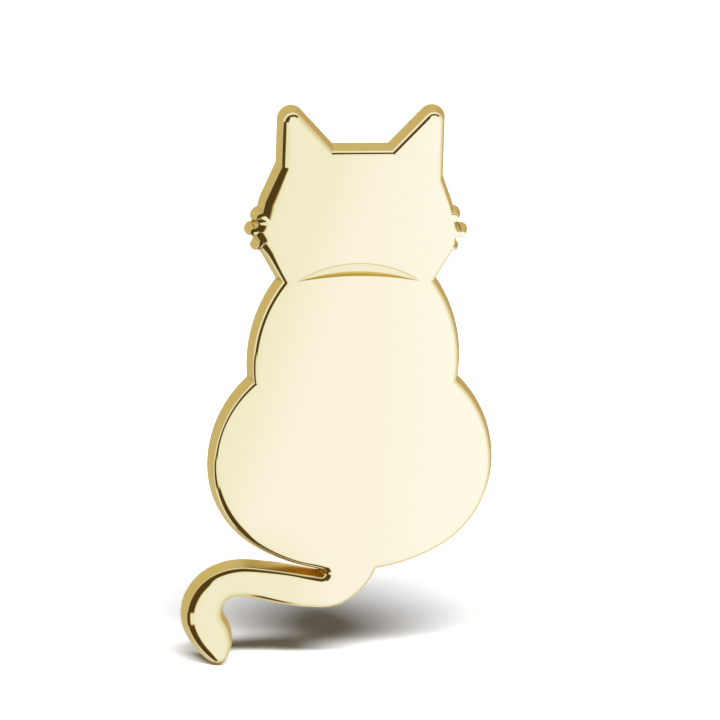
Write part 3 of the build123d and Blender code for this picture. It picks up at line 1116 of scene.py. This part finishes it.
    def corner_normals(
        self, line: Outline, plan: np.ndarray, triangles: np.ndarray, tilt: np.ndarray, origin: np.ndarray
    ) -> np.ndarray:
        """Normal at each corner of each triangle, from the relief's slope and the inward direction there.

        On a ridge or in a valley two walls meet, and a triangle takes the wall on its own side: the nearer
        wall on a ridge, the farther in a valley. The crescent's slope is taken away from the relief's.

        Args:
            line: The refined outline.
            plan: Plan points.
            triangles: (t, 3) indices.
            tilt: Tilt of the relief at each plan point.
            origin: Outline point that each plan point belongs to.

        Returns:
            (t, 3, 3) unit normals.
        """
        middle = plan[triangles].mean(axis=1)[:, None]
        at = origin[triangles]
        away = middle - line.point[at]
        reach = [np.sum(away * side[at], axis=-1) for side in (line.before, line.after)]
        choose_after = np.where(line.valley[at], reach[1] > reach[0], reach[1] < reach[0])
        inward = np.where(choose_after[..., None], line.after[at], line.before[at])
        slope = np.tan(tilt[triangles])[..., None] * inward
        spots = plan[triangles] * (1 - self.nudge) + middle * self.nudge
        slope = slope - self.crescent(spots.reshape(-1, 2))[1].reshape(slope.shape)
        normal = np.stack([-slope[..., 0], -np.ones(slope.shape[:2]), -slope[..., 1]], axis=-1)
        return normal / np.linalg.norm(normal, axis=-1, keepdims=True)

    def back(self, border: np.ndarray, recesses: list[np.ndarray]) -> tuple[np.ndarray, np.ndarray]:
        """Flat back between the outline and the recesses.

        Args:
            border: (n, 2) outline.
            recesses: (m, 2) circle of each recess.

        Returns:
            Plan points and triangles.
        """
        loops = [border, *recesses]
        plan = np.concatenate(loops)
        starts = np.cumsum([0] + [len(loop) for loop in loops])
        runs = [np.arange(a, b) for a, b in zip(starts, starts[1:])]
        edges = np.concatenate([np.stack([run, np.roll(run, -1)], axis=1) for run in runs])
        _, lead, faces = triangulate(plan, edges, runs[0])
        triangles = lead[faces]
        middle = plan[triangles].mean(axis=1)
        hole = np.zeros(len(triangles), bool)
        for circle in recesses:
            centre = circle.mean(axis=0)
            hole |= np.hypot(*(middle - centre).T) < np.hypot(*(circle[0] - centre))
        return plan, triangles[~hole]

    def recess(
        self, centre: np.ndarray, circle: np.ndarray, way: np.ndarray, ring: np.ndarray, base: int
    ) -> tuple[np.ndarray, list[tuple[np.ndarray, np.ndarray]]]:
        """Wall and floor of a recess in the back.

        Args:
            centre: Its middle in the plan.
            circle: (n, 2) points of its rim.
            way: (n, 2) outward directions at them.
            ring: Indices of the rim's points.
            base: Index of its first new point.

        Returns:
            The floor's points, its middle last, and pairs of triangles and corner normals.
        """
        steps = len(circle)
        floor, after = base + np.arange(steps), np.roll(np.arange(steps), -1)
        spots = in_space(np.concatenate([circle, centre[None]]), -self.recess_depth)
        inward = -in_space(way, 0.0)
        walls = [
            ((ring, floor, floor[after]), (inward, inward, inward[after])),
            ((ring, floor[after], ring[after]), (inward, inward[after], inward[after])),
        ]
        parts = [(np.stack(corners, axis=1), np.stack(normals, axis=1)) for corners, normals in walls]
        fan = np.stack([floor, floor[after], np.full(steps, base + steps)], axis=1)
        return spots, [*parts, (fan, np.broadcast_to(BACKWARDS, (steps, 3, 3)))]

    def build(self) -> bpy.types.Object:
        """Builds the plate with its tufts as one mesh.

        Returns:
            The object.
        """
        loops = sorted(back_loops(self.node), key=lambda loop: -abs(signed_area(loop)))
        outer = loops[0] if signed_area(loops[0]) > 0 else loops[0][::-1]
        line = self.outline(self.with_round_slit(outer))
        plan, triangles, height, normals, border = self.front(line)
        way = directions(np.linspace(0, 2 * np.pi, self.recess_steps, endpoint=False))
        recesses = []
        for loop in loops[1:3]:
            centre, radius = (loop.max(axis=0) + loop.min(axis=0)) / 2, np.ptp(loop[:, 0]) / 2
            recesses.append(centre + radius * way)
        rear_plan, rear = self.back(plan[border], recesses)
        base = len(plan)
        rear = np.r_[border, base + np.arange(len(rear_plan) - len(border))][rear]
        vertices = [in_space(plan, -height), in_space(rear_plan[len(border) :], 0.0)]
        parts = [(triangles, normals), (rear, np.broadcast_to(BACKWARDS, rear.shape + (3,)))]
        for index, circle in enumerate(recesses):
            ring = base + index * self.recess_steps + np.arange(self.recess_steps)
            spots, added = self.recess(circle.mean(axis=0), circle, way, ring, sum(map(len, vertices)))
            vertices.append(spots)
            parts += added
        points = np.concatenate(vertices)
        front_count = len(triangles)
        turned_right = [self.matching(*part, points) for part in parts]
        triangles, normals = (np.concatenate(column) for column in zip(*turned_right))
        marks = {"wall": np.ones((len(triangles), 3)), "back": np.ones((len(triangles), 3))}
        # the wall mark also swaps the front's pale cream for the wall's darker gold, painted as lit and
        # shaded copies of one plating
        satin, blend = self.polish_fade
        marks["wall"][:front_count] -= np.clip((-normals[:front_count, :, 1] - satin) / blend, 0, 1)
        middle = points[triangles[:front_count]].mean(axis=1)[:, [0, 2]]
        marks["wall"][:front_count][self.crescent(middle)[1][:, 1] > 0] = 1
        marks["back"][:front_count] = 0
        mesh = bpy.data.meshes.new("gold_cat")
        mesh.from_pydata((points * MM).tolist(), [], triangles.tolist())
        for name, value in marks.items():
            mark = mesh.attributes.new(name, "FLOAT", "CORNER")
            mark.data.foreach_set("value", value.reshape(-1).astype(np.float32))
        mesh.shade_smooth()
        mesh.normals_split_custom_set(normals.reshape(-1, 3).tolist())
        piece = make_object("gold_cat", mesh, self.finish.material())
        hand_over(piece, "badge", "gold_plate", self.node)
        return piece

    @staticmethod
    def matching(
        triangles: np.ndarray, normals: np.ndarray, points: np.ndarray
    ) -> tuple[np.ndarray, np.ndarray]:
        """Turns triangles whose winding disagrees with their corner normals.

        Args:
            triangles: (t, 3) indices.
            normals: (t, 3, 3) corner normals.
            points: (n, 3) points.

        Returns:
            Triangles and normals.
        """
        a, b, c = (points[triangles[:, k]] for k in range(3))
        wrong = (np.sum(np.cross(b - a, c - a) * normals.sum(axis=1), axis=1) < 0)[:, None]
        turned_normals = np.where(wrong[..., None], normals[:, ::-1], normals)
        return np.where(wrong, triangles[:, ::-1], triangles), turned_normals


# ---------------------------------------------------------------- posts and clutches


@dataclass
class Post:
    """Headed wire post in its recess, with its ring of solder."""

    level: Level
    wire: Finish
    solder: Finish
    radius: float = 0.55
    pad_radius: float = 2.25
    pad_thickness: float = 0.35
    pad_rounds: tuple[float, float] = (0.08, 0.10)  # at its face in the recess and at its other face
    root_fillet: float = 0.12
    point_length: float = 1.1
    shoulder_radius: float = 0.25  # between wire and point
    shoulder_inset: float = 0.02
    tip_radius: float = 0.10
    groove_depth: float = 0.10
    groove_width: float = 0.62
    groove_drops: tuple[float, float] = (2.0, 2.9)
    recess_radius: float = 2.5
    solder_hollow: float = 0.05
    turns: int = 96

    def build(self) -> None:
        """Builds the post and its solder in place of their CAD nodes."""
        node = f"{self.level.value}_post"
        low, high = cad_box(node)
        centre = (low[0] + high[0]) / 2, (low[2] + high[2]) / 2
        self.lathe(node, "_wire", self.profile(low[1], high[1]), centre, self.wire, "gilt_post")
        node += "_solder"
        low, high = cad_box(node)
        t = np.linspace(0, 1, 11)
        run = self.pad_radius + (self.recess_radius - self.pad_radius) * t
        meniscus = list(zip(run, high[1] - self.solder_hollow * 4 * t * (1 - t)))
        foot = (self.pad_radius, low[1])
        rows = [foot, *meniscus, (self.recess_radius, low[1]), foot]
        self.lathe(node, "_ring", rows, centre, self.solder, "solder")

    def lathe(
        self, node: str, suffix: str, rows: list, centre: tuple[float, float], finish: Finish, slot: str
    ) -> None:
        """Turns a profile into a piece that rides on the badge.

        Args:
            node: CAD node that it replaces.
            suffix: What its own name adds to the node's.
            rows: Rows of radius and height.
            centre: x and z of its axis.
            finish: Its finish.
            slot: The record's material slot.
        """
        mesh = smooth_mesh(node, *turned(np.array(rows), centre, self.turns))
        hand_over(make_object(node + suffix, mesh, finish.material()), "badge", slot, node)

    def profile(self, floor: float, tip: float) -> list[tuple[float, float]]:
        """Profile of the post: pad, fillet, wire with U-shaped grooves, and a rounded point.

        A groove's depth at the share t of its width is groove_depth * 4 t (1 - t).

        Args:
            floor: Height of the pad's lower face.
            tip: Height of the point's end.

        Returns:
            Rows of radius and height from pole to pole.
        """
        top, foot = floor + self.pad_thickness, tip - self.point_length
        r, fillet = self.radius, self.root_fillet
        lower, upper = self.pad_rounds
        rows = [(0, floor), *arc((self.pad_radius - lower, floor + lower), lower, -90, 0, 4)]
        rows += [*arc((self.pad_radius - upper, top - upper), upper, 0, 90, 5), (r + fillet, top)]
        rows += arc((r + fillet, top + fillet), fillet, 270, 180, 5)[1:]
        t = np.linspace(0, 1, 17)
        for drop in reversed(self.groove_drops):
            start, end = foot - drop - self.groove_width, foot - drop
            rows += list(zip(r - self.groove_depth * 4 * t * (1 - t), start + (end - start) * t))
        shoulder = (r - self.shoulder_radius, foot - self.shoulder_inset)
        rows += [(r, foot - 3 * self.shoulder_inset), *arc(shoulder, self.shoulder_radius, 8, 22, 3)]
        rows += arc((0, tip - self.tip_radius), self.tip_radius, 24, 90, 6)
        return [*rows[:-1], (0, tip)]


@dataclass
class Clutch:
    """Butterfly clutch: a dished base, a cage with two pairs of lugs, and two sprung wings."""

    level: Level
    brass: Finish
    spring: Finish
    base_radius: float = 5.6
    sheet: float = 0.40
    rim_height: float = 1.05
    rim_bend: float = 0.50
    hole_radius: float = 0.60
    hole_rounds: tuple[float, float] = (0.06, 0.08)  # at the face towards the cloth and at the other face
    dimple_depth: float = 0.05
    dimple: tuple[float, float] = (3.95, 0.8)  # inner radius and width of the pressed ring
    base_turns: int = 144
    base_crisp: float = 50.0  # degrees
    cage_round: float = 0.05
    wing_round: float = 0.06
    pivot_x: float = 2.6
    pivot_height: float = 2.3
    wing_sheet: float = 0.30
    wing_half_width: float = 2.45
    eye_radius: float = 0.58
    trunnion_radius: float = 0.36
    barrel_chamfers: tuple[float, float] = (0.05, 0.06)  # of the trunnions and the eye
    barrel_turns: int = 48
    grip: tuple[float, float] = (0.05, 1.2)
    grip_half_width: float = 2.1
    grip_end_x: float = 1.9
    grip_notch: float = 0.58
    knee: tuple[float, float] = (4.55, 4.55)
    tip: tuple[float, float] = (5.75, 5.45)
    bend_reach: float = 0.9  # radius to which its bends are rounded
    corner: float = 1.2
    blade_steps: tuple[int, int] = (60, 40)  # along and across
    notch_rows: int = 8  # rows at the grip that the notch for the post may move

    def __post_init__(self) -> None:
        """Takes the clutch's place from its base's CAD box."""
        self.name = f"{self.level.value}_clutch"
        low, high = cad_box(self.name + "_base")
        self.seat, self.z = low[1], (low[2] + high[2]) / 2

    def build(self) -> None:
        """Builds the base and wings, and dresses the cage."""
        self.build_base()
        self.dress_cage()
        for side in Side:
            self.build_wing(side)

    def build_base(self) -> None:
        """Base: sheet with a turned-up rim, and a shallow ring pressed into its floor."""
        s, R, bend, h = self.sheet, self.base_radius, self.rim_bend, self.seat
        outer, inner = self.hole_rounds
        t = np.linspace(0, 1, 25)
        ring = self.dimple[0] + self.dimple[1] * t
        press = h + s - self.dimple_depth * np.sin(np.pi * t) ** 2
        hole = self.hole_radius
        rows = [(hole, h + outer), *arc((hole + outer, h + outer), outer, 180, 270, 4)]
        rows += arc((R - bend, h + bend), bend, -90, 0, 10)
        rows += arc((R - s / 2, h + self.rim_height - s / 2), s / 2, 0, 180, 12)
        rows += arc((R - bend, h + s + (bend - s)), bend - s, 0, -90, 6)
        rows += list(zip(ring[::-1], press[::-1]))
        rows += arc((hole + inner, h + s - inner), inner, 90, 180, 5)
        rows.append(rows[0])
        node = self.name + "_base"
        spots = turned(np.array(rows), (0, self.z), self.base_turns)
        dish = make_object(node + "_dish", smooth_mesh(node, *spots, self.base_crisp), self.brass.material())
        hand_over(dish, self.name, "clutch_brass", node)

    def dress_cage(self) -> None:
        """Cage: the CAD node, its doubles merged and its edges rounded, in stamped brass."""
        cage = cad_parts[self.name + "_cage"]
        cage.data.materials.clear()
        cage.data.materials.append(self.brass.material())
        weld = cage.modifiers.new("join", "WELD")
        weld.merge_threshold = 1e-6
        soften(cage, self.cage_round)
        LOG.info("%s dressed", cage.name)

    def blade_path(self) -> tuple[np.ndarray, np.ndarray]:
        """Middle line of a wing's sheet from grip to tip, with its bends rounded.

        A bend at the node N, cut off at A and B, is the curve (1 - t)^2 A + 2 t (1 - t) N + t^2 B.

        Returns:
            (n, 2) points of (x, height) and (n, 2) unit directions.
        """
        nodes = np.array([self.grip, (self.pivot_x, self.pivot_height), self.knee, self.tip])
        points, headings = [nodes[0]], [nodes[1] - nodes[0]]
        for i in (1, 2):
            before, after = nodes[i] - nodes[i - 1], nodes[i + 1] - nodes[i]
            before, after = before / np.hypot(*before), after / np.hypot(*after)
            half = math.acos(np.clip(before @ after, -1, 1)) / 2
            trim = self.bend_reach * math.tan(half)
            t = np.linspace(0, 1, 9)[:, None]
            start, end = nodes[i] - before * trim, nodes[i] + after * trim
            points += list((1 - t) ** 2 * start + 2 * t * (1 - t) * nodes[i] + t**2 * end)
            headings += list((1 - t) * before + t * after)
        points.append(nodes[3])
        headings.append(nodes[3] - nodes[2])
        points, headings = np.array(points), np.array(headings)
        run = np.r_[0, np.cumsum(np.hypot(*np.diff(points, axis=0).T))]
        fine = np.unique(np.r_[np.linspace(0, run[-1], self.blade_steps[0]), run])
        line = np.stack([np.interp(fine, run, points[:, k]) for k in (0, 1)], axis=1)
        way = np.stack([np.interp(fine, run, headings[:, k] / np.hypot(*headings.T)) for k in (0, 1)], axis=1)
        return line, way / np.hypot(*way.T)[:, None]

    def half_width(self, x: np.ndarray) -> np.ndarray:
        """Half the blade's width: narrow at the grip, rounded at the outer corners.

        Args:
            x: Distances from the clutch's axis.

        Returns:
            Half widths; at d past the start of a corner of radius c the edge is sqrt(c^2 - d^2) out.
        """
        reach = self.tip[0] + self.wing_sheet / 2
        short = np.clip(x - (reach - self.corner), 0, self.corner)
        tab = self.wing_half_width - self.corner + np.sqrt(np.maximum(self.corner**2 - short**2, 0))
        return np.where(x < self.grip_end_x, self.grip_half_width, tab)

    def build_wing(self, side: Side) -> None:
        """Wing: a blade with a rolled eye and trunnions, mirrored for the other side.

        Args:
            side: Left or right.
        """
        name = f"{self.name}_wing_{side.name.lower()}"
        vertices, joined, offset = [], [], 0
        for spots, parts in (self.blade(), self.barrel()):
            vertices.append(spots)
            joined += [[i + offset for i in part] for part in parts]
            offset += len(spots)
        spots = np.concatenate(vertices)
        spots = np.stack([side.value * spots[:, 0], self.seat + spots[:, 1], self.z + spots[:, 2]], axis=1)
        piece = make_object(name + "_blade", smooth_mesh(name, spots, joined), self.spring.material())
        soften(piece, self.wing_round)
        hand_over(piece, f"{self.level.value}_wing_{side.name.lower()}", "wing_brass", name)

    def blade(self) -> tuple[np.ndarray, list]:
        """Blade of a wing as a closed sheet, with a notch for the post in its grip.

        A point at the distance s along the path and the share w across it lies at the path's point, moved w
        times the half width along z and half the sheet along the path's normal to either face.

        Returns:
            Vertices and faces.
        """
        line, way = self.blade_path()
        normal = np.stack([-way[:, 1], way[:, 0]], axis=1) * self.wing_sheet / 2
        across = np.linspace(-1, 1, self.blade_steps[1] + 1)
        width = self.half_width(line[:, 0])
        notch = np.sqrt(np.maximum(self.grip_notch**2 - (across * self.grip_half_width) ** 2, 0))
        layers = []
        for edge in (line + normal, line - normal):
            x = np.maximum(edge[:, :1], self.grip[0]) + 0 * across
            x[: self.notch_rows] = np.maximum(x[: self.notch_rows], notch)
            layers.append(np.stack([x, edge[:, 1:] + 0 * across, width[:, None] * across], axis=-1))
        rows, columns = layers[0].shape[:2]
        row, column = np.meshgrid(np.arange(rows - 1), np.arange(columns - 1), indexing="ij")
        cell = (row * columns + column).reshape(-1)
        top = np.stack([cell, cell + 1, cell + columns + 1, cell + columns], axis=1)
        shift = rows * columns
        rim = np.r_[
            np.arange(columns),
            np.arange(2, rows + 1) * columns - 1,
            (rows - 1) * columns + np.arange(columns - 2, -1, -1),
            np.arange(rows - 2, 0, -1) * columns,
        ]
        after = np.roll(rim, -1)
        band = np.stack([rim, after, after + shift, rim + shift], axis=1)
        faces = [*top.tolist(), *(top[:, ::-1] + shift).tolist(), *band.tolist()]
        return np.concatenate([layer.reshape(-1, 3) for layer in layers]), faces

    def barrel(self) -> tuple[np.ndarray, list]:
        """Rolled eye with a trunnion at each end: rings of one axis along z, from pole to pole.

        Returns:
            Vertices and faces.
        """
        end = cad_box(self.name + "_wing_left")[1][2] - self.z
        w, e, t = self.wing_half_width, self.eye_radius, self.trunnion_radius
        small, large = self.barrel_chamfers
        half = [(0, end), (t - small, end), (t, end - small), (t, w), (e - large, w), (e, w - large), (e, 0)]
        profile = np.array(half + [(r, -z) for r, z in reversed(half[:-1])])
        spots, faces = turned(profile, (0, 0), self.barrel_turns)
        axes = [self.pivot_x + spots[:, 0], self.pivot_height + spots[:, 2], spots[:, 1]]
        return np.stack(axes, axis=1), faces


# ---------------------------------------------------------------- studio


@dataclass
class Studio:
    """Pale floor, soft light, the room that the polish reflects, and the camera.

    Of four tilts the middle two are dark and the outer two clear; of a reach's two angles the first is clear.
    Shades are shares of the room's brightness that are taken away.
    """

    azimuth: float = -9.2  # degrees, camera to the badge's left
    elevation: float = 14.5
    roll: float = 1.9
    lens: float = 900.0
    frame_width: float = 56.4  # of the view at the badge, in millimetres
    aim: tuple[float, float] = (0.549, -0.392)  # right and up from the frame's origin
    flag_tilts: tuple[float, float, float, float] = (9.0, 17.0, 38.0, 47.0)  # degrees
    flag_lift: float = 0.06  # by which the flag stands off from the flat where it faces up or down
    flag_facing: float = 156.0  # degrees, its middle
    flag_reach: tuple[float, float] = (108.0, 101.0)  # degrees from its middle
    flag_shade: float = 0.97
    window_facing: float = 185.0  # where the flag is cut back, so that the front isn't dark from the right
    window_reach: tuple[float, float] = (11.0, 6.0)
    window_tilts: tuple[float, float, float, float] = (27.0, 32.0, 50.0, 57.0)
    slope_shade: float = 0.09  # wherever the surface slopes a little
    left_shade: float = 0.05  # on slopes that face left
    right_shade: float = 0.26  # on steep slopes that face right and a little down
    right_facing: float = -20.0
    ambient: float = 0.06
    floor_half: float = 6.0  # metres
    floor_drop: float = 2e-5  # metres, below the badge
    panels: tuple[tuple[str, tuple[float, float, float], tuple[float, float], float], ...] = (
        ("top", (0.0, -1.55, 1.72), (2.4, 0.4), 150.0),  # place and size in metres, power in watts
        ("fill", (-0.35, -0.5, 0.45), (0.5, 0.5), 0.3),
    )
    tones: tuple[tuple[float, tuple[float, float, float]], ...] = (
        (0.0, (0.06, 0.036, 0.01)),
        (0.3, (0.36, 0.22, 0.06)),
        (0.6, (0.76, 0.62, 0.36)),
        (0.86, (0.91, 0.92, 0.80)),
        (1.0, (1.0, 1.0, 1.0)),
    )

    def axes(self) -> tuple[Vector, Vector, Vector]:
        """Unit vectors to the right and up in the view, and back to the camera.

        Returns:
            Right, up and back.
        """
        a, e = math.radians(self.azimuth), math.radians(self.elevation)
        back = Vector((math.sin(a) * math.cos(e), -math.cos(a) * math.cos(e), math.sin(e)))
        right = Vector((0, 0, 1)).cross(back).normalized()
        up = back.cross(right)
        turn = Matrix.Rotation(math.radians(self.roll), 3, back)
        return turn @ right, turn @ up, back

    def camera(self) -> None:
        """Sets the camera on its line of sight, as far as its lens needs."""
        right, up, back = self.axes()
        data = bpy.data.cameras.new("camera")
        data.lens, data.sensor_width = self.lens, 36.0
        distance = self.frame_width * self.lens / data.sensor_width
        data.clip_start, data.clip_end = 0.05, 50.0
        camera = bpy.data.objects.new("camera", data)
        target = right * self.aim[0] + up * self.aim[1]
        camera.matrix_world = Matrix((right, up, back)).transposed().to_4x4()
        camera.location = (target + back * distance) * MM
        bpy.context.scene.collection.objects.link(camera)
        bpy.context.scene.camera = camera

    def floor(self) -> None:
        """Pale floor under the badge; it throws no reflection into the polish."""
        half, height = self.floor_half, CAD_BOX[0][2] - self.floor_drop
        mesh = bpy.data.meshes.new("floor")
        corners = [(-half, -half), (half, -half), (half, half), (-half, half)]
        mesh.from_pydata([(x, y, height) for x, y in corners], [], [(0, 1, 2, 3)])
        material = bpy.data.materials.new("floor_paint")
        material.use_nodes = True
        tree = Tree(material.node_tree)
        shader = tree.node("BsdfDiffuse", {}, {"Color": (0.93, 0.93, 0.93, 1)})
        tree.node("OutputMaterial", {}, {"Surface": shader.outputs[0]})
        floor = make_object("floor", mesh, material)
        floor.visible_glossy = False

    def lights(self) -> None:
        """A long soft panel overhead for the shadow and a fill; the polish sees the room instead of them."""
        for name, place, size, power in self.panels:
            data = bpy.data.lights.new(name, "AREA")
            data.shape = "RECTANGLE"
            data.size, data.size_y = size
            data.energy = power
            light = bpy.data.objects.new(name, data)
            light.location = place
            light.rotation_mode = "QUATERNION"
            light.rotation_quaternion = Vector(place).to_track_quat("Z", "Y")
            light.visible_glossy = False
            bpy.context.scene.collection.objects.link(light)

    def room(self) -> None:
        """The room that the polish reflects: white, with a dark flag that lines the upper left edges.

        The room is laid out by the tilt of the surface that would send each direction to the camera: that
        surface's normal is halfway between the direction and the line of sight. The flag covers tilts between
        flag_tilts and facings within flag_reach of flag_facing, counted round the line square to the plate.
        """
        world = bpy.data.worlds.new("room")
        bpy.context.scene.world = world
        world.use_nodes = True
        tree = Tree(world.node_tree)
        way = tree.node("TexCoord").outputs["Generated"]
        both = tree.node("VectorMath", {"operation": "ADD"}, {0: way, 1: tuple(self.axes()[2])})
        unit = tree.node("VectorMath", {"operation": "NORMALIZE"}, {0: both.outputs[0]})
        parts = tree.node("SeparateXYZ", {}, {0: unit.outputs[0]})
        across, depth, rise = (Value(tree, parts.outputs[k]) for k in range(3))
        face_on = depth * -1.0
        tilted = (1.0 - face_on * face_on).most(1e-6).power(0.5)

        def facing(degrees: float) -> Value:
            """How far the surface faces an angle in the plan, 0 being right and 90 up."""
            turn = math.radians(degrees)
            return (across * math.cos(turn) + rise * math.sin(turn)) / tilted

        def band(tilts: Sequence[float], tilt_cosine: Value) -> Value:
            """1 between the two middle tilts, fading to 0 at the outer ones."""
            flat, gentle, steep, upright = (math.cos(math.radians(t)) for t in tilts)
            return tilt_cosine.step(flat, gentle) * face_on.step(upright, steep)

        def within(middle: float, clear: float, full: float) -> Value:
            """1 within an angle of a facing, fading to 0 at another."""
            return facing(middle).step(math.cos(math.radians(clear)), math.cos(math.radians(full)))

        sheer = facing(90.0).power(2.0).step(0.5, 0.8)
        window = within(self.window_facing, *self.window_reach)
        plain = band(self.flag_tilts, face_on + sheer * self.flag_lift)
        flag = plain * (1.0 - window) + band(self.window_tilts, face_on) * window
        flag = flag * within(self.flag_facing, *self.flag_reach)
        slope, hint, steep = (face_on.step(*fade) for fade in ((0.9995, 0.93), (0.9999, 0.99), (0.97, 0.72)))
        level = 1.0 - slope * self.slope_shade - facing(180.0).step(0.0, 1.0) * hint * self.left_shade
        level = level - steep * facing(self.right_facing).step(-0.5, 0.6) * self.right_shade
        level = level * (1.0 - flag * self.flag_shade)
        ramp = tree.node("ValToRGB", {"stops": self.tones}, {0: level})
        glossy = tree.node("Background", {}, {"Color": ramp.outputs[0], "Strength": 1.0})
        even = tree.node("Background", {}, {"Color": (1, 1, 1, 1), "Strength": self.ambient})
        path = tree.node("LightPath")
        shaders = {0: path.outputs["Is Glossy Ray"], 1: even.outputs[0], 2: glossy.outputs[0]}
        mixed = tree.node("MixShader", {}, shaders)
        tree.node("OutputWorld", {}, {"Surface": mixed.outputs[0]})

    def build(self) -> None:
        """Sets up the whole stage."""
        self.camera()
        self.floor()
        self.lights()
        self.room()
        bpy.context.scene.view_settings.view_transform = "Standard"


def main() -> None:
    """Builds the badge piece by piece and sets the stage."""
    # the front's pale cream colour is partly a painted highlight on gold plating
    gold = CastGold("gold_plate", (0.965, 0.896, 0.716), (0.955, 0.87, 0.66), 0.035)
    wire = TurnedWire("gilt_wire", (0.90, 0.74, 0.42), (0.78, 0.60, 0.30), 0.16)
    solder = SoftSolder("soft_solder", (0.62, 0.60, 0.55), (0.42, 0.38, 0.30), 0.42)
    brass = PressedBrass("clutch_brass", (0.84, 0.66, 0.33), (0.66, 0.47, 0.20), 0.24)
    spring = PressedBrass("wing_brass", (0.86, 0.69, 0.37), (0.68, 0.50, 0.23), 0.20, lines=(1.0, 1.0, 9.0))
    Studio().build()
    CatPlate(gold).build()
    for level in Level:
        Post(level, wire, solder).build()
        Clutch(level, brass, spring).build()


if __name__ == "__main__":
    main()
